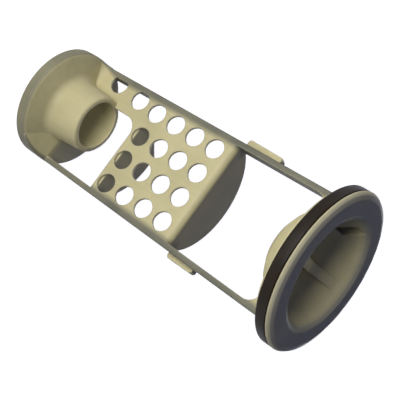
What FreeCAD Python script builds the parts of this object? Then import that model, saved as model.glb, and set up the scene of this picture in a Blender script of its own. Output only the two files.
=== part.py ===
import FreeCAD, Part
import os
import Sketcher

# Washer pump filter: one moulded plastic body and the rubber seal ring in its groove.
# Millimetres. The axis is Z: the open end of the plug stands on z = 0 and the grip head is on top.
# The perforated deck faces -Y, and the half walls below it reach towards +Y.

SIZES = {
    # Grip head: levels are measured down from its front face, radii in from its rim
    "overall_length": 135.5,
    "head_radius": 31.0,
    "rim_thickness": 1.9,
    "rim_edge": 0.2,
    "rim_shoulder_width": 0.8,
    "rim_shoulder_drop": 0.6,
    "rim_bevel": 2.5,
    "rim_width": 9.5,
    "groove_depth": 4.0,
    "groove_wall": 2.0,
    "lip_drop": 2.6,
    "lip_thickness": 1.4,
    "dish_floor_radius": 11.5,
    "dish_depth": 17.1,
    "dish_edge_bevel": 1.0,
    "dish_wall": 2.2,
    "dish_side_wall": 2.64,
    "bulge_margin": 1.98,
    "bulge_bevel": 2.6,
    "grip_thickness": 4.0,
    "grip_edge_drop": 1.5,
    "grip_middle_drop": 12.0,
    "grip_middle_length": 22.0,
    "core_side": 4.5,
    "core_inset": 4.2,
    "core_depth": 13.5,
    # Rubber seal ring, flush with the rim
    "seal_width": 4.9,
    "seal_clearance": 0.1,
    "seal_bevel": 0.4,
    # Plug end with the water tube
    "plug_radius": 22.8,
    "plug_wall": 2.0,
    "plug_rim_height": 4.5,
    "plug_rim_bevel": 0.8,
    "plug_cone_rise": 2.3,
    "plug_block_height": 8.4,
    "ramp_length": 14,
    "bore_radius": 9.7,
    "tube_wall": 2.0,
    "tube_draft": 1.1,
    "tube_height": 20.9,
    "tube_base_round": 3.2,
    "tube_lip_bevel": 0.6,
    # Rails and the cone that the whole cage fits in
    "rail_width": 2.5,
    "rail_height": 6.5,
    "rail_round": 1.2,
    "cage_top_radius": 25.3,
    "foot_drop": 19.3,
    "foot_round": 5.0,
    # Perforated deck with its strip along the -X rail
    "deck_level": 2.4,
    "deck_thickness": 1.2,
    "deck_start": 33.8,
    "deck_length": 42.4,
    "deck_round": 2.6,
    "strip_overlap": 1.9,
    "window_round": 6.0,
    "wall_thickness": 1.8,
    "far_wall_reach": 10.6,
    "far_wall_side": 13.7,
    "far_wall_slant": 7.7,
    "hole_diameter": 7.7,
    "hole_edge": 0.7,
    "far_row_margin": 4.7,
    "near_row_margin": 7.7,
    "strip_hole_drop": 5.2,
    "strip_hole_pitch": 12.6,
    "near_strip_hole_inset": 3.5,
    "far_strip_hole_inset": 1.85,
    # Locking lugs on the rails, the one on the -X rail larger
    "lug_gap": 0.6,
    "right_lug_length": 12.4,
    "left_lug_length": 15.8,
    "right_lug_reach": 1.5,
    "left_lug_reach": 2.2,
    "lug_height": 3.4,
    "lug_bevel": 0.8,
}

HOLES_ALONG = 4
HOLES_ACROSS = 4


class Size:
    """A length that knows its number and the expression that binds it to the sheet."""

    def __init__(self, value, text):
        self.value = value
        self.text = text

    def __add__(self, other):
        other = as_size(other)
        return Size(self.value + other.value, f"({self.text} + {other.text})")

    def __sub__(self, other):
        other = as_size(other)
        return Size(self.value - other.value, f"({self.text} - {other.text})")

    def __mul__(self, other):
        other = as_size(other)
        return Size(self.value * other.value, f"({self.text} * {other.text})")

    def __truediv__(self, other):
        other = as_size(other)
        return Size(self.value / other.value, f"({self.text} / {other.text})")

    def __neg__(self):
        return self * -1


def as_size(number):
    return number if isinstance(number, Size) else Size(float(number), str(number))


def size(alias):
    return Size(SIZES[alias], f"Sizes.{alias}")


ZERO = as_size(0)
# How far the middle of a quarter round lies from its square corner's sides, as a share of its radius
ARC_MIDDLE = 1 - 0.5 ** 0.5

# Levels, radii and widths that follow from the driving sizes
FRONT = size("overall_length")
RIM_BACK = FRONT - size("rim_thickness")
SEAL_BACK = RIM_BACK - size("seal_width")
LIP_BACK = SEAL_BACK - size("lip_thickness")
DISH_FLOOR = FRONT - size("dish_depth")
BULGE_BACK = DISH_FLOOR - size("dish_wall")
FOOT = FRONT - size("foot_drop")
GROOVE_RADIUS = size("head_radius") - size("groove_depth")
GROOVE_INSIDE = GROOVE_RADIUS - size("groove_wall")
LIP_RADIUS = size("head_radius") - size("lip_drop")
DISH_RADIUS = size("head_radius") - size("rim_width")
DISH_SLOPE = (DISH_RADIUS - size("dish_floor_radius")) / size("dish_depth")
BULGE_RADIUS = size("dish_floor_radius") + size("bulge_margin")
DECK = size("deck_level")
RAIL_BOTTOM = DECK + size("rail_height")
DECK_END = size("deck_start") + size("deck_length")
CAGE_SLOPE = (size("cage_top_radius") - size("plug_radius")) / FOOT
CONE_TOP = size("plug_rim_height") + size("plug_cone_rise")
TUBE_MOUTH = size("bore_radius") + size("tube_wall")
TUBE_BASE = TUBE_MOUTH + size("tube_draft")
TUBE_MIDDLE = (size("bore_radius") + TUBE_BASE) / 2


def dish_inside(z):
    """Radius of the dish's inner cone at a level."""
    return DISH_RADIUS - (FRONT - z) * DISH_SLOPE


def cage_radius(z):
    """Radius of the slightly tapered cone that the cage fits in, at a level."""
    return size("plug_radius") + z * CAGE_SLOPE


def rail_inside(z):
    """Half width between the rails at a level."""
    return cage_radius(z) - size("rail_width")


def make_sheet(doc):
    sheet = doc.addObject("Spreadsheet::Sheet", "Sizes")
    for row, (alias, value) in enumerate(SIZES.items(), start=1):
        sheet.set(f"A{row}", alias)
        sheet.set(f"B{row}", str(value))
        sheet.setAlias(f"B{row}", alias)
    doc.recompute()


def origin_plane(body, role):
    return next(item for item in body.Origin.OriginFeatures if item.Role == role)


def new_sketch(body, name, role, offset=None):
    """A sketch on an origin plane, moved along the plane's normal by an offset."""
    sketch = body.newObject("Sketcher::SketchObject", name)
    sketch.AttachmentSupport = (origin_plane(body, role), [""])
    sketch.MapMode = "FlatFace"
    if offset is not None:
        sketch.setExpression("AttachmentOffset.Base.z", offset.text)
    return sketch


def bind(sketch, kind, *references, length):
    """Add one dimension and bind it to its expression."""
    index = sketch.addConstraint(Sketcher.Constraint(kind, *references, length.value))
    sketch.setExpression(f"Constraints[{index}]", length.text)


def pin_point(sketch, geometry, end, point):
    """Hold one end of a curve at a point given by two sizes."""
    bind(sketch, "DistanceX", -1, 1, geometry, end, length=point[0])
    bind(sketch, "DistanceY", -1, 1, geometry, end, length=point[1])


def vector(point):
    return FreeCAD.Vector(point[0].value, point[1].value, 0)


def add_polygon(sketch, points):
    """A closed outline of straight edges, each corner held by its own sizes."""
    first = sketch.GeometryCount
    count = len(points)
    for index, point in enumerate(points):
        following = points[(index + 1) % count]
        sketch.addGeometry(Part.LineSegment(vector(point), vector(following)), False)
    for index, point in enumerate(points):
        before = first + (index - 1) % count
        sketch.addConstraint(Sketcher.Constraint("Coincident", before, 2, first + index, 1))
        pin_point(sketch, first + index, 1, point)


def add_circle(sketch, centre, diameter):
    circle = Part.Circle(vector(centre), FreeCAD.Vector(0, 0, 1), diameter.value / 2)
    index = sketch.addGeometry(circle, False)
    pin_point(sketch, index, 3, centre)
    bind(sketch, "Diameter", index, length=diameter)


def half_chord(radius, level):
    """Half the width of a circle at a level off its centre."""
    width = (radius.value ** 2 - level.value ** 2) ** 0.5
    return Size(width, f"sqrt({radius.text}^2 - {level.text}^2)")


def add_half_ring(sketch, outer, inner, level):
    """The part of a ring about the axis that lies beyond a chord at a level towards +Y."""
    arcs = []
    for radius in (outer, inner):
        half = half_chord(radius, level)
        start = FreeCAD.Vector(half.value, level.value, 0)
        middle = FreeCAD.Vector(0, radius.value, 0)
        end = FreeCAD.Vector(-half.value, level.value, 0)
        arc = sketch.addGeometry(Part.Arc(start, middle, end), False)
        sketch.addConstraint(Sketcher.Constraint("Coincident", arc, 3, -1, 1))
        bind(sketch, "Radius", arc, length=radius)
        arcs.append((arc, half))
    (outer_arc, outer_half), (inner_arc, inner_half) = arcs
    for side, end in ((1, 1), (-1, 2)):
        first = FreeCAD.Vector(side * outer_half.value, level.value, 0)
        last = FreeCAD.Vector(side * inner_half.value, level.value, 0)
        line = sketch.addGeometry(Part.LineSegment(first, last), False)
        sketch.addConstraint(Sketcher.Constraint("Coincident", line, 1, outer_arc, end))
        sketch.addConstraint(Sketcher.Constraint("Coincident", line, 2, inner_arc, end))
        sketch.addConstraint(Sketcher.Constraint("Horizontal", line))
        bind(sketch, "DistanceY", -1, 1, line, 1, length=level)


def add_half_disc(sketch, radius, level):
    """The part of a disc about the axis that lies beyond a chord at a level towards +Y."""
    half = half_chord(radius, level)
    start = FreeCAD.Vector(half.value, level.value, 0)
    middle = FreeCAD.Vector(0, radius.value, 0)
    end = FreeCAD.Vector(-half.value, level.value, 0)
    arc = sketch.addGeometry(Part.Arc(start, middle, end), False)
    chord = sketch.addGeometry(Part.LineSegment(end, start), False)
    sketch.addConstraint(Sketcher.Constraint("Coincident", arc, 3, -1, 1))
    sketch.addConstraint(Sketcher.Constraint("Coincident", arc, 2, chord, 1))
    sketch.addConstraint(Sketcher.Constraint("Coincident", chord, 2, arc, 1))
    sketch.addConstraint(Sketcher.Constraint("Horizontal", chord))
    bind(sketch, "Radius", arc, length=radius)
    bind(sketch, "DistanceY", -1, 1, chord, 1, length=level)


def add_open_corner(sketch, corners, middle, centre):
    """Straight edges through the corners, closed by an arc from the last corner back to the first."""
    lines = []
    for first, second in zip(corners, corners[1:]):
        line = sketch.addGeometry(Part.LineSegment(vector(first), vector(second)), False)
        pin_point(sketch, line, 1, first)
        if lines:
            sketch.addConstraint(Sketcher.Constraint("Coincident", lines[-1], 2, line, 1))
        lines.append(line)
    pin_point(sketch, lines[-1], 2, corners[-1])
    arc = sketch.addGeometry(Part.Arc(vector(corners[0]), vector(middle), vector(corners[-1])), False)
    starts_first = sketch.getPoint(arc, 1).isEqual(vector(corners[0]), 1e-6)
    ends = (1, 2) if starts_first else (2, 1)
    sketch.addConstraint(Sketcher.Constraint("Coincident", arc, ends[0], lines[0], 1))
    sketch.addConstraint(Sketcher.Constraint("Coincident", arc, ends[1], lines[-1], 2))
    bind(sketch, "DistanceX", -1, 1, arc, 3, length=centre)


def pad(body, name, sketch, length, backwards=False, sides="One side"):
    feature = body.newObject("PartDesign::Pad", name)
    feature.Profile = sketch
    feature.SideType = sides
    feature.setExpression("Length", length.text)
    feature.Reversed = backwards
    return feature


def pocket(body, name, sketch, length, backwards=False):
    feature = body.newObject("PartDesign::Pocket", name)
    feature.Profile = sketch
    feature.setExpression("Length", length.text)
    feature.Reversed = backwards
    return feature


def turn(body, kind, name, sketch):
    """A Revolution or Groove of a section right round the axis."""
    feature = body.newObject(f"PartDesign::{kind}", name)
    feature.Profile = sketch
    feature.ReferenceAxis = (sketch, ["V_Axis"])
    feature.Angle = 360
    return feature


def round_edges(body, name, radius, chosen):
    """A fillet on the edges of the body's last feature that a test picks."""
    doc = body.Document
    doc.recompute()
    base = body.Tip
    names = [f"Edge{number}" for number, edge in enumerate(base.Shape.Edges, start=1) if chosen(edge)]
    if not names:
        raise RuntimeError(f"{name}: no edge to round")
    feature = body.newObject("PartDesign::Fillet", name)
    feature.Base = (base, names)
    feature.setExpression("Radius", radius.text)
    doc.recompute()
    return feature


def near(first, second):
    return abs(first - second) < 1e-3


def is_ring(edge, radius, z):
    """Whether an edge is a circle about the axis with this radius, at this level."""
    curve = edge.Curve
    if not isinstance(curve, Part.Circle):
        return False
    return near(curve.Radius, radius.value) and near(curve.Center.z, z.value)


def is_upright(edge, x, z):
    """Whether an edge runs along Y at this x and z."""
    return all(near(vertex.X, x.value) and near(vertex.Z, z.value) for vertex in edge.Vertexes)


def make_head(body):
    """The grip head: rim, seal groove, retaining lip and dish, turned in one section."""
    bevel = size("bulge_bevel")
    edge_bevel = size("dish_edge_bevel")
    dish_back = dish_inside(RIM_BACK) + size("dish_side_wall")
    bulge_slope = (dish_back - BULGE_RADIUS) / (RIM_BACK - BULGE_BACK)
    section = new_sketch(body, "HeadSection", "XZ_Plane")
    add_polygon(section, [
        (ZERO, BULGE_BACK),
        (BULGE_RADIUS - bevel, BULGE_BACK),
        (BULGE_RADIUS + bevel * bulge_slope, BULGE_BACK + bevel),
        (dish_back, RIM_BACK),
        (GROOVE_INSIDE, RIM_BACK),
        (GROOVE_INSIDE, LIP_BACK),
        (LIP_RADIUS, LIP_BACK),
        (LIP_RADIUS, SEAL_BACK),
        (GROOVE_RADIUS, SEAL_BACK),
        (GROOVE_RADIUS, RIM_BACK),
        (size("head_radius"), RIM_BACK),
        (size("head_radius"), RIM_BACK + size("rim_edge")),
        (size("head_radius") - size("rim_shoulder_width"), FRONT - size("rim_shoulder_drop")),
        (size("head_radius") - size("rim_bevel"), FRONT),
        (DISH_RADIUS + edge_bevel, FRONT),
        (dish_inside(FRONT - edge_bevel), FRONT - edge_bevel),
        (size("dish_floor_radius"), DISH_FLOOR),
        (ZERO, DISH_FLOOR),
    ])
    turn(body, "Revolution", "Head", section)


def make_rails(body):
    """Two rails from the plug to the head, with flared feet that run into the dish's back."""
    outside = cage_radius(LIP_BACK)
    plate = FRONT - size("rim_thickness") / 2
    root = DISH_FLOOR + size("dish_wall") / 2
    sketch = new_sketch(body, "RailOutline", "XZ_Plane", -DECK)
    for side in (1, -1):
        corners = [
            (outside, ZERO),
            (outside, LIP_BACK),
            (GROOVE_INSIDE, LIP_BACK),
            (GROOVE_INSIDE, plate),
            (dish_inside(plate) + size("dish_side_wall") / 2, plate),
            (dish_inside(root) + size("dish_side_wall") / 2, root),
            (rail_inside(FOOT), FOOT),
            (rail_inside(ZERO), ZERO),
        ]
        add_polygon(sketch, [(x * side, z) for x, z in corners])
    pad(body, "Rails", sketch, size("rail_height"), backwards=True)
    corner = rail_inside(FOOT)
    round_edges(body, "FootRound", size("foot_round"),
                lambda edge: is_upright(edge, corner, FOOT) or is_upright(edge, -corner, FOOT))


def make_plug(body):
    """The plug end: rim, coned end wall and the water tube, turned in one section and open behind."""
    rim = size("plug_rim_height")
    wall = size("plug_wall")
    rim_bevel = size("plug_rim_bevel")
    bevel = size("tube_lip_bevel")
    mouth = size("tube_height")
    inside = size("plug_radius") - wall
    section = new_sketch(body, "PlugSection", "XZ_Plane")
    add_polygon(section, [
        (size("plug_radius"), ZERO),
        (cage_radius(rim - rim_bevel), rim - rim_bevel),
        (cage_radius(rim) - rim_bevel, rim),
        (TUBE_BASE, CONE_TOP),
        (TUBE_MOUTH, mouth - bevel),
        (TUBE_MOUTH - bevel, mouth),
        (size("bore_radius"), mouth),
        (size("bore_radius"), CONE_TOP - wall),
        (inside, rim - wall),
        (inside, ZERO),
    ])
    turn(body, "Revolution", "Plug", section)
    round_edges(body, "TubeBaseRound", size("tube_base_round"),
                lambda edge: is_ring(edge, TUBE_BASE, CONE_TOP))


def make_plug_block(body):
    """The deeper half of the plug below the deck, cored from behind to an even wall."""
    wall = size("plug_wall")
    block = new_sketch(body, "BlockOutline", "XY_Plane")
    add_half_ring(block, cage_radius(LIP_BACK), TUBE_MIDDLE, DECK)
    pad(body, "PlugBlock", block, size("plug_block_height"))
    core = new_sketch(body, "BlockCoreOutline", "XY_Plane")
    add_half_ring(core, size("plug_radius") - wall, TUBE_BASE, DECK + wall)
    pocket(body, "BlockCore", core, size("plug_block_height") - wall, backwards=True)


def make_corner_fills(body):
    """The end wall's two ways up to the block: a hollow quarter round at the strip, a ramp opposite."""
    rim = size("plug_rim_height")
    depth = size("plug_wall") / 2
    radius = size("plug_block_height") - rim
    slant = radius * ARC_MIDDLE
    outer = cage_radius(LIP_BACK)
    below = [
        (DECK - radius, rim),
        (DECK - radius, rim - depth),
        (DECK + depth, rim - depth),
        (DECK + depth, rim + radius),
        (DECK, rim + radius),
    ]
    sketch = new_sketch(body, "StripFillSection", "YZ_Plane", -outer)
    add_open_corner(sketch, below, (DECK - slant, rim + slant), DECK - radius)
    pad(body, "StripFill", sketch, outer - TUBE_MIDDLE)
    sketch = new_sketch(body, "RampSection", "YZ_Plane", TUBE_MIDDLE)
    add_polygon(sketch, [
        (DECK - size("ramp_length"), rim - depth),
        (DECK + depth, rim - depth),
        (DECK + depth, rim + radius),
        (DECK, rim + radius),
        (DECK - size("ramp_length"), rim),
    ])
    pad(body, "Ramp", sketch, outer - TUBE_MIDDLE)


def make_deck(body):
    """The deck between the rails, with its strip along the -X rail back to the plug."""
    half_rail = size("rail_width") / 2
    start = size("plug_rim_height")
    strip = size("strip_overlap") - TUBE_MOUTH
    window = size("deck_start")
    sketch = new_sketch(body, "DeckOutline", "XZ_Plane", -DECK)
    add_polygon(sketch, [
        (-rail_inside(start) - half_rail, start),
        (strip, start),
        (strip, window),
        (rail_inside(window) + half_rail, window),
        (rail_inside(DECK_END) + half_rail, DECK_END),
        (-rail_inside(DECK_END) - half_rail, DECK_END),
    ])
    pad(body, "Deck", sketch, size("deck_thickness"), backwards=True)
    round_edges(body, "WindowRound", size("window_round"), lambda edge: is_upright(edge, strip, window))


def make_half_walls(body):
    """The two half walls that close the chamber below the deck."""
    walls = (("FarWall", size("deck_start"), False), ("HeadWall", DECK_END, True))
    for name, level, backwards in walls:
        sketch = new_sketch(body, f"{name}Outline", "XY_Plane", level)
        add_half_disc(sketch, size("cage_top_radius"), DECK)
        pad(body, name, sketch, size("wall_thickness"), backwards=backwards)


def open_far_wall(body):
    """The corner that the plug side half wall leaves open beside the strip, with a slanted lower edge."""
    spare = size("cage_top_radius")
    top = DECK + size("deck_thickness")
    reach = -size("far_wall_reach")
    sketch = new_sketch(body, "FarWallGap", "XY_Plane", size("deck_start"))
    add_polygon(sketch, [
        (-spare, top),
        (reach, top),
        (reach, size("far_wall_side")),
        (reach + size("far_wall_slant"), spare),
        (-spare, spare),
    ])
    pocket(body, "FarWallCut", sketch, size("wall_thickness"), backwards=True)


def round_deck_end(body):
    """The rounded edge where the deck turns down into the head side half wall."""
    def chosen(edge):
        straight = isinstance(edge.Curve, Part.Line)
        return straight and all(near(v.Y, DECK.value) and near(v.Z, DECK_END.value) for v in edge.Vertexes)
    round_edges(body, "DeckEndRound", size("deck_round"), chosen)


def trim_to_cone(body):
    """Turn away what stands out of the slightly tapered cone that the cage fits in."""
    spare = size("rail_height")
    top = cage_radius(LIP_BACK)
    sketch = new_sketch(body, "ConeSection", "XZ_Plane")
    add_polygon(sketch, [
        (size("plug_radius"), ZERO),
        (top, LIP_BACK),
        (top + spare, LIP_BACK),
        (top + spare, ZERO),
    ])
    turn(body, "Groove", "ConeTrim", sketch)


def round_rails(body):
    """The rounded outer edge of each rail at the deck's level, cut along the cone's taper."""
    radius = size("rail_round")
    slant = radius * ARC_MIDDLE
    for name, side in (("Right", 1), ("Left", -1)):
        sections = []
        for end, level in (("Far", size("plug_block_height")), ("Near", LIP_BACK)):
            outside = half_chord(cage_radius(level), DECK)
            corners = [
                (outside - radius, DECK),
                (outside - radius, DECK - radius),
                (outside + radius, DECK - radius),
                (outside + radius, DECK + radius),
                (outside, DECK + radius),
            ]
            sketch = new_sketch(body, f"{name}Round{end}", "XY_Plane", level)
            add_open_corner(sketch, [(x * side, y) for x, y in corners],
                            ((outside - slant) * side, DECK + slant), (outside - radius) * side)
            sections.append(sketch)
        feature = body.newObject("PartDesign::SubtractiveLoft", f"{name}RailRound")
        feature.Profile = sections[0]
        feature.Sections = sections[1:]
        feature.Ruled = True


def make_lugs(body):
    """A bevelled locking lug on the outer side of each rail."""
    start = DECK_END + size("lug_gap")
    bevel = size("lug_bevel")
    root = rail_inside(start) + size("rail_width") / 2
    sketch = new_sketch(body, "LugOutline", "XZ_Plane", size("lug_height") - RAIL_BOTTOM)
    for name, side in (("right", 1), ("left", -1)):
        end = start + size(f"{name}_lug_length")
        outside = cage_radius(end) + size(f"{name}_lug_reach")
        corners = [
            (root, start),
            (outside - bevel, start),
            (outside, start + bevel),
            (outside, end - bevel),
            (outside - bevel, end),
            (root, end),
        ]
        add_polygon(sketch, [(x * side, z) for x, z in corners])
    pad(body, "Lugs", sketch, size("lug_height"), backwards=True)


def drill_deck(body):
    """The grid of holes in the deck and the two in its strip, which the rail closes in part."""
    diameter = size("hole_diameter")
    start = size("deck_start")
    first_row = start + size("far_row_margin")
    last_row = DECK_END - size("near_row_margin")
    row_pitch = (last_row - first_row) / (HOLES_ALONG - 1)
    outer_column = rail_inside(start) - size("hole_edge") - diameter / 2
    column_pitch = outer_column * 2 / (HOLES_ACROSS - 1)
    sketch = new_sketch(body, "HoleOutline", "XZ_Plane", -DECK)
    for column in range(HOLES_ACROSS):
        for row in range(HOLES_ALONG):
            add_circle(sketch, (column_pitch * column - outer_column, first_row + row_pitch * row), diameter)
    near_hole = start - size("strip_hole_drop")
    far_hole = near_hole - size("strip_hole_pitch")
    for z, inset in ((near_hole, size("near_strip_hole_inset")), (far_hole, size("far_strip_hole_inset"))):
        add_circle(sketch, (inset - rail_inside(z), z), diameter)
    pocket(body, "DeckHoles", sketch, size("deck_thickness"))


def make_grip(body):
    """The web across the dish, hollowed towards its middle."""
    edge = FRONT - size("grip_edge_drop")
    middle = FRONT - size("grip_middle_drop")
    half_middle = size("grip_middle_length") / 2
    edge_reach = dish_inside(edge) + size("dish_wall") / 2
    bottom = DISH_FLOOR - size("dish_wall") / 2
    sketch = new_sketch(body, "GripOutline", "YZ_Plane")
    add_polygon(sketch, [
        (-edge_reach, edge),
        (-half_middle, middle),
        (half_middle, middle),
        (edge_reach, edge),
        (size("dish_floor_radius"), bottom),
        (-size("dish_floor_radius"), bottom),
    ])
    pad(body, "Grip", sketch, size("grip_thickness"), sides="Symmetric")


def core_rail_root(body):
    """The small square pocket in the dish that cores out the root of the strip's rail."""
    half = size("core_side") / 2
    centre = size("core_inset") - DISH_RADIUS
    middle = DECK + size("rail_height") / 2
    sketch = new_sketch(body, "RootCoreOutline", "XY_Plane", FRONT)
    add_polygon(sketch, [
        (centre - half, middle - half),
        (centre + half, middle - half),
        (centre + half, middle + half),
        (centre - half, middle + half),
    ])
    pocket(body, "RootCore", sketch, size("core_depth"))


def make_filter_body(doc):
    body = doc.addObject("PartDesign::Body", "filter_body")
    body.AllowCompound = True
    make_head(body)
    make_deck(body)
    make_half_walls(body)
    open_far_wall(body)
    round_deck_end(body)
    drill_deck(body)
    make_rails(body)
    make_plug(body)
    make_plug_block(body)
    make_corner_fills(body)
    trim_to_cone(body)
    round_rails(body)
    make_lugs(body)
    make_grip(body)
    core_rail_root(body)
    return body


def make_seal_ring(doc):
    """The rubber ring that lies in the head's groove, flush with the rim."""
    gap = size("seal_clearance")
    bevel = size("seal_bevel")
    inside = GROOVE_RADIUS + gap
    outside = size("head_radius")
    bottom = SEAL_BACK + gap
    top = RIM_BACK - gap
    body = doc.addObject("PartDesign::Body", "seal_ring")
    section = new_sketch(body, "SealSection", "XZ_Plane")
    add_polygon(section, [
        (inside, bottom),
        (outside - bevel, bottom),
        (outside, bottom + bevel),
        (outside, top - bevel),
        (outside - bevel, top),
        (inside, top),
    ])
    turn(body, "Revolution", "Seal", section)
    return body


def check(doc, bodies):
    """Stop if any object failed to build or a sub-part isn't one valid solid."""
    for item in doc.Objects:
        if "Invalid" in item.State or "Error" in item.State:
            raise RuntimeError(f"{item.Name} failed: {item.State}")
    for body in bodies:
        shape = body.Shape
        if shape.isNull() or not shape.isValid() or len(shape.Solids) != 1:
            raise RuntimeError(f"{body.Label} isn't one valid solid")


def main():
    doc = FreeCAD.newDocument("WasherPumpFilter")
    make_sheet(doc)
    bodies = [make_filter_body(doc), make_seal_ring(doc)]
    doc.recompute()
    check(doc, bodies)
    os.makedirs("parts", exist_ok=True)
    for body in bodies:
        body.Shape.exportStep(f"parts/{body.Label}.step")
        print(body.Label, round(body.Shape.Volume), body.Shape.BoundBox)


if __name__ == "__main__":
    main()
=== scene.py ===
# %% [markdown]
# # A washer pump filter
# The filter is one moulded plastic cage with a rubber ring round its head. The cage stands on its plug
# end, the head is on top, and the perforated deck looks towards -Y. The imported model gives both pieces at
# their real size, so everything here is placed by that model and nothing is moved or scaled.

import math

import bpy
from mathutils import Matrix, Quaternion, Vector


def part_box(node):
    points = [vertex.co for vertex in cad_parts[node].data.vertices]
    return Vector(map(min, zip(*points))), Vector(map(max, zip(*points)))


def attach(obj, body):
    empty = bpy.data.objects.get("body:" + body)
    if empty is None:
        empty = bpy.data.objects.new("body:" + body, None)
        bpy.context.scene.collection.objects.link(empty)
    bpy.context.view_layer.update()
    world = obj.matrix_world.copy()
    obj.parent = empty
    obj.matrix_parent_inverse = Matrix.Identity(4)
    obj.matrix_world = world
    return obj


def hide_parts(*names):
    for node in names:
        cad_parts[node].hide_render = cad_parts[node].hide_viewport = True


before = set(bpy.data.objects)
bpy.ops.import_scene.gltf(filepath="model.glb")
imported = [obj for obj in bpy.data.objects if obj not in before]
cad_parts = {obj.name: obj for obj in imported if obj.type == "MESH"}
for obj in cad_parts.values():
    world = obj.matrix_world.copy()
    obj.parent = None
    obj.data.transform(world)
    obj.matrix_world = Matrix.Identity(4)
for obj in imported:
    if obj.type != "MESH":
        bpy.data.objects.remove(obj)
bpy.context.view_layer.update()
scene = bpy.context.scene
MM = 0.001
print("pieces:", sorted(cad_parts))

# %% [markdown]
# ## Camera
# The photograph looks down on the deck from 30 degrees, with the camera rolled so far that the standing
# filter seems to lie across the picture. A camera that is aimed at a point, moved back along its line of
# sight and then rolled about it says this in five plain numbers, where a bare matrix would hide them.

# %% Camera
AIM = Vector((1.8, 7.8, 73.2)) * MM
AZIMUTH = math.radians(5.78)
ELEVATION = math.radians(29.98)
ROLL = math.radians(123.0)
DISTANCE = 400.0 * MM
FOCAL_LENGTH = 97.5
SENSOR_WIDTH = 36.0
NEAREST_SEEN = 10.0 * MM


def make_camera():
    level = math.cos(ELEVATION)
    back = Vector((math.sin(AZIMUTH) * level, -math.cos(AZIMUTH) * level, math.sin(ELEVATION)))
    data = bpy.data.cameras.new("camera")
    data.lens = FOCAL_LENGTH
    data.sensor_width = SENSOR_WIDTH
    data.clip_start = NEAREST_SEEN
    camera = bpy.data.objects.new("camera", data)
    scene.collection.objects.link(camera)
    camera.location = AIM + back * DISTANCE
    camera.rotation_mode = "QUATERNION"
    camera.rotation_quaternion = (-back).to_track_quat("-Z", "Y") @ Quaternion((0, 0, 1), ROLL)
    scene.camera = camera
    return camera


camera = make_camera()
print("camera in mm:", [round(value / MM, 1) for value in camera.location])

# %% [markdown]
# ## Node maths
# Node trees soon get hard to read as lists of links. A small class stands for one socket and turns the
# ordinary operators into Math nodes, so a mask can be written as `1 - dust * 0.5`. All other nodes come
# from one method, which sets a node's options first and then its sockets. It serves shaders and Geometry
# Nodes alike.


# %% Node helpers
class Wire:
    """One output socket, with arithmetic that adds Math nodes."""

    def __init__(self, tree, socket):
        self.tree = tree
        self.socket = socket

    def __add__(self, other):
        return self.tree.math("ADD", self, other)

    def __radd__(self, other):
        return self.tree.math("ADD", other, self)

    def __sub__(self, other):
        return self.tree.math("SUBTRACT", self, other)

    def __rsub__(self, other):
        return self.tree.math("SUBTRACT", other, self)

    def __mul__(self, other):
        return self.tree.math("MULTIPLY", self, other)

    def __rmul__(self, other):
        return self.tree.math("MULTIPLY", other, self)


class Tree:
    """A node tree that is built by one method, with short names for the nodes used most."""

    def __init__(self, tree):
        self.tree = tree
        tree.nodes.clear()

    def node(self, kind, settings=None, sockets=None, output=0):
        made = self.tree.nodes.new(kind)
        for name, value in (settings or {}).items():
            if name == "stops":
                set_stops(made.color_ramp, value)
            else:
                setattr(made, name, value)
        for name, value in (sockets or {}).items():
            socket = find_socket(made, name)
            if isinstance(value, Wire):
                self.tree.links.new(value.socket, socket)
            else:
                socket.default_value = value
        return Wire(self, made.outputs[output]) if made.outputs else None

    def math(self, operation, first, second):
        return self.node("ShaderNodeMath", {"operation": operation}, {0: first, 1: second})

    def split(self, vector):
        """The X, Y and Z of a vector."""
        made = self.node("ShaderNodeSeparateXYZ", {}, {"Vector": vector}).socket.node
        return [Wire(self, socket) for socket in made.outputs]

    def mix(self, factor, first, second):
        """Blend two colours."""
        return self.node("ShaderNodeMix", {"data_type": "RGBA"},
                         {"Factor_Float": factor, "A_Color": first, "B_Color": second}, output=2)

    def ramp(self, value, *stops):
        """Bend a value along a line of (position, result) stops."""
        return self.node("ShaderNodeValToRGB", {"stops": stops}, {"Fac": value})

    def spread(self, value, start, end, first, last):
        """Map a value from one range to another, held at both ends."""
        return self.node("ShaderNodeMapRange", {}, {"Value": value, "From Min": start, "From Max": end,
                                                    "To Min": first, "To Max": last})

    def noise(self, place, scale, detail):
        return self.node("ShaderNodeTexNoise", {}, {"Vector": place, "Scale": scale, "Detail": detail})


def find_socket(node, name):
    if isinstance(name, int):
        return node.inputs[name]
    by_identifier = {socket.identifier: socket for socket in node.inputs}
    return by_identifier.get(name) or node.inputs[name]


def set_stops(ramp, stops):
    while len(ramp.elements) < len(stops):
        ramp.elements.new(1.0)
    for element, (position, value) in zip(ramp.elements, stops):
        element.position = position
        element.color = (value, value, value, 1.0)


def new_material(name):
    material = bpy.data.materials.new(name)
    material.use_nodes = True
    return material, Tree(material.node_tree)


def srgb(red, green, blue):
    """A colour in screen values from 0 to 255, as the linear values that a shader takes."""
    def linear(value):
        share = value / 255
        return share / 12.92 if share <= 0.04045 else ((share + 0.055) / 1.055) ** 2.4
    return (linear(red), linear(green), linear(blue), 1.0)


print("mid grey is", round(srgb(188, 188, 188)[0], 2))
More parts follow.
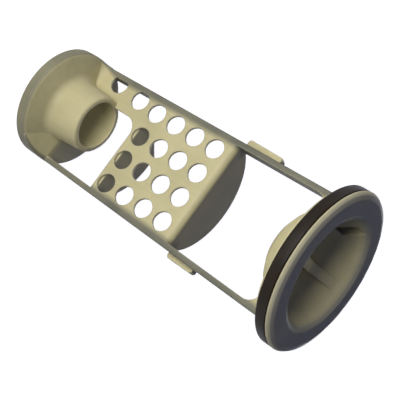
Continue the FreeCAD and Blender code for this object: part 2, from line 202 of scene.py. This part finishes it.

# %% [markdown]
# ## Wear and painted shade on the plastic
# The rails and the plug's rim slide in the pump's bore and have greyed there, and the grey there is also
# painted shade. The head's front is darkened, partly as dulling by fingers and partly as painted shade,
# and painted shade darkens the upward ledges behind the deck. Such marks could be painted by hand, but
# each follows a rule, so each is a mask worked out from the object's own coordinates. The grey skin is
# found by how far a point lies from the slim cone that the cage fits in: a wide band on the rails, and
# a thin one on all other outer faces. A range that is named as a fade is where a mask goes from one end
# of its values to the other.

# %% Greyed and shaded skin
CONE_FOOT = 22.8 * MM
CONE_SLOPE = 0.0215
PLUG_FADE = (4.0 * MM, 13.0 * MM)
RAIL_FADE = (8.9 * MM, 9.5 * MM)
HEAD_FADE = (122.0 * MM, 127.0 * MM)
SKIN_START_MM, SKIN_FULL_MM = 0.7, 0.2
RAIL_START_MM, RAIL_FULL_MM = 3.7, 1.9
LUG_FADE_MM = (0.2, 0.6)
SKIN_SHARE = 0.83
RAIL_SHARE = 0.17


# Grey skin: partly wear from the pump's bore, partly painted shade on the rails and outer faces.
def greyed_and_shaded_skin(tree, east, north, height):
    """Most on the rails, less on other faces in the bore, and 0 inside, on the lugs and on the head."""
    flat = tree.node("ShaderNodeCombineXYZ", {}, {"X": east, "Y": north})
    radius = tree.node("ShaderNodeVectorMath", {"operation": "LENGTH"}, {0: flat}, output="Value")
    outside = (radius - CONE_FOOT - CONE_SLOPE * height) * (1 / MM)
    above_plug = tree.spread(height, *PLUG_FADE, 0.0, 1.0)
    on_rails = above_plug * tree.spread(north, *RAIL_FADE, 1.0, 0.0)
    below_head = tree.spread(height, *HEAD_FADE, 1.0, 0.0)
    start = -SKIN_START_MM - RAIL_START_MM * on_rails
    full = -SKIN_FULL_MM - RAIL_FULL_MM * on_rails
    reached = tree.spread(outside, start, full, 0.0, 1.0)
    off_lugs = tree.spread(outside, *LUG_FADE_MM, 1.0, 0.0)
    return reached * off_lugs * below_head * (SKIN_SHARE + RAIL_SHARE * on_rails)


print("cone radius at the head in mm:", round((CONE_FOOT + CONE_SLOPE * HEAD_FADE[1]) / MM, 1))

# %% Dulled and shaded faces
FRONT_FADE = (133.0 * MM, 135.3 * MM)
UPWARDS_FADE = (0.85, 0.97)
BEHIND_DECK_FADE = (3.0 * MM, 5.0 * MM)
# Painted shade on the ledges behind the deck fades out over this height.
LEDGE_SHADE_FADE = (95.0 * MM, 100.0 * MM)
LEDGE_SHADE_SHARE = 0.7


def dulled_and_shaded_faces(tree, north, height, normal):
    """1 on the head's front, as dulling and painted shade, and a part of that as painted shade on the
    upward ledges behind the deck.
    """
    upwards = tree.split(normal)[2]
    # The head's front is darkened partly as dulling by fingers and partly as painted shade.
    front_dull_and_shade = tree.spread(height, *FRONT_FADE, 0.0, 1.0)
    behind_deck = tree.spread(north, *BEHIND_DECK_FADE, 0.0, 1.0)
    # Painted shade on the upward ledges behind the deck, fading out between 95 and 100 mm high.
    ledge = tree.spread(upwards, *UPWARDS_FADE, 0.0, 1.0) * behind_deck
    ledge_shade = ledge * tree.spread(height, *LEDGE_SHADE_FADE, 1.0, 0.0)
    return front_dull_and_shade + LEDGE_SHADE_SHARE * ledge_shade


# %% [markdown]
# ## Moulded plastic
# The cage is an uncoated engineering plastic in a greenish beige. Up close it isn't one colour: the tone
# drifts where the melt cooled at different speeds, and long flow marks follow the axis. Painted shade
# darkens the inner corners, and the outer edges are painted paler, partly as rubbed wear and partly as a
# painted highlight. One flat colour would look like a toy, and a picture would need unwrapping, so the
# patterns are noise on the object's own coordinates. Two nodes feel the shape: Ambient Occlusion finds
# the inner corners for the painted shade, and Bevel finds the edges for the paler paint and also rounds
# them a little in the light, as a real mould does.

# %% Plastic
PLASTIC_TONE = srgb(203, 193, 146)
PLASTIC_DEEP = srgb(188, 179, 133)
# Paler tone for the outer edges: partly rubbed wear, partly a painted highlight.
EDGE_WEAR_AND_HIGHLIGHT_TONE = srgb(222, 216, 186)
# Painted shade: this darker tone goes into the inner corners that Ambient Occlusion finds.
CORNER_SHADE_TONE = srgb(138, 128, 94)
# Darker grey for the skin: partly wear from the pump's bore, partly painted shade.
SKIN_GREY_AND_SHADE_TONE = srgb(98, 98, 86)
# Darker tone for the head's front, partly dulling and partly painted shade, and painted shade on the
# ledges.
DULL_AND_SHADE_TONE = srgb(158, 153, 134)
DRIFT_SCALE = 55.0
FLOW_SCALE = 420.0
FLOW_STRETCH = 0.1
MOULD_GRAIN_SCALE = 2600.0
MOULD_GRAIN_DEPTH = 0.2 * MM
EDGE_RADIUS = 1.0 * MM
CORNER_REACH = 5.0 * MM
FEEL_SAMPLES = 8


def make_plastic():
    material, tree = new_material("moulded_plastic")
    place = tree.node("ShaderNodeTexCoord", output="Object")
    east, north, height = tree.split(place)
    along = tree.node("ShaderNodeMapping", {}, {"Vector": place, "Scale": (1.0, 1.0, FLOW_STRETCH)})
    drift = tree.ramp(tree.noise(place, DRIFT_SCALE, 3.0), (0.35, 0.0), (0.68, 1.0))
    flow = tree.ramp(tree.noise(along, FLOW_SCALE, 2.0), (0.4, 0.0), (0.65, 1.0))
    grain = tree.noise(place, MOULD_GRAIN_SCALE, 2.0)
    round_normal = tree.node("ShaderNodeBevel", {"samples": FEEL_SAMPLES}, {"Radius": EDGE_RADIUS})
    flat_normal = tree.node("ShaderNodeNewGeometry", output="Normal")
    alike = tree.node("ShaderNodeVectorMath", {"operation": "DOT_PRODUCT"},
                      {0: round_normal, 1: flat_normal}, output="Value")
    openness = tree.node("ShaderNodeAmbientOcclusion", {"samples": FEEL_SAMPLES, "only_local": True},
                         {"Distance": CORNER_REACH}, output="AO")
    # Painted shade in the inner corners, strongest where the surface is least open.
    corner_shade = tree.ramp(openness, (0.15, 1.0), (0.7, 0.0)) * (0.45 + 0.55 * drift)
    # Outer edges paler, partly as rubbed wear and partly as a painted highlight.
    edge_wear_and_highlight = tree.ramp(1 - alike, (0.02, 0.0), (0.2, 1.0)) * tree.ramp(openness, (0.5, 0.0), (0.8, 1.0))
    # Grey on the rails and outer faces, partly wear and partly painted shade.
    skin_grey_and_shade = greyed_and_shaded_skin(tree, east, north, height) * (0.8 + 0.15 * drift)
    # Head front darkened as dulling and painted shade, and painted shade on the ledges behind the deck.
    dulled_and_shaded = dulled_and_shaded_faces(tree, north, height, flat_normal) * (0.8 + 0.2 * drift)
    tone = tree.mix(0.75 * drift + 0.25 * flow, PLASTIC_TONE, PLASTIC_DEEP)
    tone = tree.mix(0.55 * corner_shade, tone, CORNER_SHADE_TONE)
    tone = tree.mix(skin_grey_and_shade, tone, SKIN_GREY_AND_SHADE_TONE)
    tone = tree.mix(dulled_and_shaded, tone, DULL_AND_SHADE_TONE)
    tone = tree.mix(0.35 * edge_wear_and_highlight, tone, EDGE_WEAR_AND_HIGHLIGHT_TONE)
    rough = 0.48 + 0.06 * flow + 0.12 * corner_shade
    bump = tree.node("ShaderNodeBump", {}, {"Height": grain, "Normal": round_normal,
                                            "Strength": 0.12, "Distance": MOULD_GRAIN_DEPTH})
    surface = tree.node("ShaderNodeBsdfPrincipled", {}, {"Base Color": tone, "Roughness": rough,
                                                         "Normal": bump, "Specular IOR Level": 0.3})
    tree.node("ShaderNodeOutputMaterial", {}, {"Surface": surface})
    return material


plastic = make_plastic()
print("plastic nodes:", len(plastic.node_tree.nodes))

# %% [markdown]
# ## Cage
# The cage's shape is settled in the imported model, down to the holes and the flared feet, so a second mesh
# would only be a worse copy. It stays, and takes the plastic in its slot.

# %% Cage
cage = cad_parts["filter_body"]
cage.data.materials[0] = plastic
print("cage triangles:", len(cage.data.polygons))

# %% [markdown]
# ## Rubber
# The ring is a black-brown rubber that has aged a little: a dull surface, a dusty bloom in patches, and
# fine rub marks that run round the ring, because the filter is turned when it goes in. The rub marks need
# a coordinate that follows the ring, so the angle about the axis takes the place of X and Y.

# %% Rubber
RUBBER_TONE = srgb(26, 18, 7)
RUBBER_BLOOM = srgb(46, 36, 20)
MARK_RUN = 4.0 * MM
MARK_SCALE = 2400.0
BLOOM_SCALE = 160.0
RUBBER_GRAIN_SCALE = 3000.0
RUBBER_GRAIN_DEPTH = 0.15 * MM


def make_rubber():
    material, tree = new_material("aged_rubber")
    place = tree.node("ShaderNodeTexCoord", output="Object")
    east, north, height = tree.split(place)
    angle = tree.math("ARCTAN2", north, east)
    round_place = tree.node("ShaderNodeCombineXYZ", {}, {"X": MARK_RUN * angle, "Y": 0.5 * height,
                                                         "Z": height})
    marks = tree.ramp(tree.noise(round_place, MARK_SCALE, 3.0), (0.45, 0.0), (0.7, 1.0))
    bloom = tree.ramp(tree.noise(place, BLOOM_SCALE, 4.0), (0.42, 0.0), (0.7, 1.0))
    grain = tree.noise(place, RUBBER_GRAIN_SCALE, 2.0)
    tone = tree.mix(0.35 * bloom + 0.25 * marks, RUBBER_TONE, RUBBER_BLOOM)
    rough = 0.36 + 0.12 * bloom + 0.08 * marks
    bump = tree.node("ShaderNodeBump", {}, {"Height": 0.6 * marks + 0.4 * grain,
                                            "Strength": 0.2, "Distance": RUBBER_GRAIN_DEPTH})
    surface = tree.node("ShaderNodeBsdfPrincipled", {}, {"Base Color": tone, "Roughness": rough,
                                                         "Normal": bump, "Specular IOR Level": 0.18})
    tree.node("ShaderNodeOutputMaterial", {}, {"Surface": surface})
    return material


rubber = make_rubber()
print("rubber nodes:", len(rubber.node_tree.nodes))

# %% [markdown]
# ## Seal ring
# The ring is one section carried round a circle: a block of rubber with rounded corners, very slightly
# uneven where it is squeezed. A rule like this suits Geometry Nodes: a rounded rectangle is swept round a
# path, a noise field moves the faces inwards by hundredths of a millimetre, and each size is an input.
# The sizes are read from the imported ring, so the new ring fills the same groove.

# %% Seal ring tree
RING_STEPS = 240
CORNER_STEPS = 7
DENT_SCALE = 140.0


def make_ring_tree():
    group = bpy.data.node_groups.new("seal_sweep", "GeometryNodeTree")
    group.interface.new_socket("Geometry", in_out="OUTPUT", socket_type="NodeSocketGeometry")
    for name in ("Inner Radius", "Outer Radius", "Bottom", "Top", "Corner", "Unevenness"):
        group.interface.new_socket(name, in_out="INPUT", socket_type="NodeSocketFloat")
    tree = Tree(group)

    def given(name):
        return tree.node("NodeGroupInput", output=name)

    width = given("Outer Radius") - given("Inner Radius")
    height = given("Top") - given("Bottom")
    middle = given("Outer Radius") - width * 0.5
    path = tree.node("GeometryNodeCurvePrimitiveCircle", {}, {"Resolution": RING_STEPS, "Radius": middle})
    block = tree.node("GeometryNodeCurvePrimitiveQuadrilateral", {}, {"Width": width, "Height": height})
    section = tree.node("GeometryNodeFilletCurve", {"mode": "POLY"},
                        {"Curve": block, "Count": CORNER_STEPS, "Radius": given("Corner"),
                         "Limit Radius": True})
    ring = tree.node("GeometryNodeCurveToMesh", {}, {"Curve": path, "Profile Curve": section})
    lift = tree.node("ShaderNodeCombineXYZ", {}, {"Z": (given("Top") + given("Bottom")) * 0.5})
    placed = tree.node("GeometryNodeTransform", {}, {"Geometry": ring, "Translation": lift})
    dent = tree.noise(tree.node("GeometryNodeInputPosition"), DENT_SCALE, 2.0) * given("Unevenness")
    inwards = tree.node("ShaderNodeVectorMath", {"operation": "SCALE"},
                        {0: tree.node("GeometryNodeInputNormal"), "Scale": 0 - dent}, output="Vector")
    uneven = tree.node("GeometryNodeSetPosition", {}, {"Geometry": placed, "Offset": inwards})
    smooth = tree.node("GeometryNodeSetShadeSmooth", {}, {"Geometry": uneven})
    plain = tree.node("GeometryNodeRealizeInstances", {}, {"Geometry": smooth})
    done = tree.node("GeometryNodeSetMaterial", {}, {"Geometry": plain, "Material": rubber})
    tree.node("NodeGroupOutput", {}, {"Geometry": done})
    return group


ring_tree = make_ring_tree()
print("ring inputs:", [item.name for item in ring_tree.interface.items_tree if item.in_out == "INPUT"])

# %% Seal ring
SEAL_CORNER = 0.8 * MM
SEAL_UNEVENNESS = 0.08 * MM


def bake_nodes(name, group, sizes):
    """Run a Geometry Nodes tree with its named sizes and keep the result as a plain mesh."""
    maker = bpy.data.objects.new(name + "_maker", bpy.data.meshes.new(name + "_maker"))
    scene.collection.objects.link(maker)
    modifier = maker.modifiers.new("tree", "NODES")
    modifier.node_group = group
    for item in group.interface.items_tree:
        if item.in_out == "INPUT":
            modifier[item.identifier] = sizes[item.name]
    graph = bpy.context.evaluated_depsgraph_get()
    mesh = bpy.data.meshes.new_from_object(maker.evaluated_get(graph))
    mesh.name = name
    bpy.data.objects.remove(maker)
    piece = bpy.data.objects.new(name, mesh)
    scene.collection.objects.link(piece)
    return piece


low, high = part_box("seal_ring")
packed_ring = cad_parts["seal_ring"].data.vertices
inner_radius = min(vertex.co.xy.length for vertex in packed_ring)
seal = bake_nodes("rubber_seal", ring_tree, {
    "Inner Radius": inner_radius, "Outer Radius": high[0], "Bottom": low[2], "Top": high[2],
    "Corner": SEAL_CORNER, "Unevenness": SEAL_UNEVENNESS})
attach(seal, "root")
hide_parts("seal_ring")
print("seal triangles:", sum(len(face.vertices) - 2 for face in seal.data.polygons))
print("seal top in mm:", round(max(vertex.co.z for vertex in seal.data.vertices) / MM, 2))

# %% [markdown]
# ## Floor
# The filter stands on a plain pale floor. A matt surface alone would show grey where the light is weak,
# and more light would wash out the filter. So the floor also glows, but only for the camera and in
# reflections. It then looks white and still keeps the filter's soft shadow.

# %% Floor
FLOOR_SIZE = 6.0
FLOOR_COLOUR = (0.8, 0.8, 0.8, 1.0)
SEEN_GLOW = 0.9
MIRRORED_GLOW = 0.5


def make_floor():
    half = FLOOR_SIZE / 2
    mesh = bpy.data.meshes.new("floor")
    corners = [(-half, -half, 0), (half, -half, 0), (half, half, 0), (-half, half, 0)]
    mesh.from_pydata(corners, [], [(0, 1, 2, 3)])
    floor = bpy.data.objects.new("floor", mesh)
    scene.collection.objects.link(floor)
    material, tree = new_material("pale_floor")
    seen = tree.node("ShaderNodeLightPath", output="Is Camera Ray")
    mirrored = tree.node("ShaderNodeLightPath", output="Is Glossy Ray")
    matt = tree.node("ShaderNodeBsdfDiffuse", {}, {"Color": FLOOR_COLOUR})
    glow = tree.node("ShaderNodeEmission", {}, {"Strength": SEEN_GLOW * seen + MIRRORED_GLOW * mirrored})
    both = tree.node("ShaderNodeAddShader", {}, {0: matt, 1: glow})
    tree.node("ShaderNodeOutputMaterial", {}, {"Surface": both})
    mesh.materials.append(material)


make_floor()
print("floor width in m:", FLOOR_SIZE)

# %% [markdown]
# ## Lamps
# The photograph looks as if one soft lamp stood low in front of the deck: the deck and the plug end are
# bright, and the faces high up that look along the axis get little of it and go grey. A broad low lamp at
# that place does the same. Weak soft lamps behind and at both sides keep those faces readable. Two small
# soft spots open the shadows in the dish and in the tube, and they are narrow, so that they add little to
# the faces around them.

# %% Lamps
LAMP_AIM = Vector((0.0, 0.0, 0.08))
KEY_PLACE = Vector((-0.02, -0.6, 0.15))
KEY_SIZE = (0.5, 0.3)
KEY_POWER = 3.2
BACK_PLACE = Vector((-0.2, 0.8, 0.05))
BACK_SIZE = (0.6, 0.3)
BACK_POWER = 3.0
EAST_PLACE = Vector((0.7, -0.1, 0.1))
WEST_PLACE = Vector((-0.7, -0.1, 0.1))
SIDE_SIZE = (0.4, 0.3)
SIDE_POWER = 0.85
DISH_SPOT_PLACE = Vector((0.0, 0.0, 0.8))
DISH_MIDDLE = Vector((0.0, 0.0, 0.12))
DISH_SPOT_ANGLE = math.radians(3.2)
DISH_SPOT_POWER = 3.0
BORE_SPOT_PLACE = Vector((0.0, -0.4, 0.5))
BORE_MOUTH = Vector((0.0, 0.002, 0.019))
BORE_SPOT_ANGLE = math.radians(1.25)
BORE_SPOT_POWER = 7.5
SPOT_RADIUS = 10.0 * MM


def hang(name, data, place, aim):
    """Put a lamp at its place and turn it to what it lights."""
    lamp = bpy.data.objects.new(name, data)
    scene.collection.objects.link(lamp)
    lamp.location = place
    lamp.rotation_mode = "QUATERNION"
    lamp.rotation_quaternion = (aim - place).to_track_quat("-Z", "Y")
    return lamp


def make_lamp(name, place, size, power):
    data = bpy.data.lights.new(name, "AREA")
    data.shape = "RECTANGLE"
    data.size, data.size_y = size
    data.energy = power
    hang(name, data, place, LAMP_AIM).visible_camera = False


def make_spot(name, place, aim, angle, power):
    data = bpy.data.lights.new(name, "SPOT")
    data.energy = power
    data.spot_size = angle
    data.spot_blend = 1.0
    data.shadow_soft_size = SPOT_RADIUS
    hang(name, data, place, aim)


make_lamp("key_lamp", KEY_PLACE, KEY_SIZE, KEY_POWER)
make_lamp("back_lamp", BACK_PLACE, BACK_SIZE, BACK_POWER)
make_lamp("east_lamp", EAST_PLACE, SIDE_SIZE, SIDE_POWER)
make_lamp("west_lamp", WEST_PLACE, SIDE_SIZE, SIDE_POWER)
make_spot("dish_spot", DISH_SPOT_PLACE, DISH_MIDDLE, DISH_SPOT_ANGLE, DISH_SPOT_POWER)
make_spot("bore_spot", BORE_SPOT_PLACE, BORE_MOUTH, BORE_SPOT_ANGLE, BORE_SPOT_POWER)

# %% [markdown]
# ## World
# A weak cool light from everywhere fills what the lamps leave dark. The camera is shown a plain pale
# backdrop in its place, because a world bright enough to look pale would also light the filter. The
# Standard view transform then shows each colour about as it is written.

# %% World
FILL_COLOUR = (0.26, 0.35, 1.0, 1.0)
FILL_LIGHT = 0.115
BACKDROP_COLOUR = (0.93, 0.94, 0.97, 1.0)


def make_world():
    world = bpy.data.worlds.new("studio")
    world.use_nodes = True
    scene.world = world
    tree = Tree(world.node_tree)
    seen = tree.node("ShaderNodeLightPath", output="Is Camera Ray")
    fill = tree.node("ShaderNodeBackground", {}, {"Color": FILL_COLOUR, "Strength": FILL_LIGHT})
    backdrop = tree.node("ShaderNodeBackground", {}, {"Color": BACKDROP_COLOUR})
    both = tree.node("ShaderNodeMixShader", {}, {0: seen, 1: fill, 2: backdrop})
    tree.node("ShaderNodeOutputWorld", {}, {"Surface": both})


make_world()
scene.view_settings.view_transform = "Standard"
print("fill light:", FILL_LIGHT)
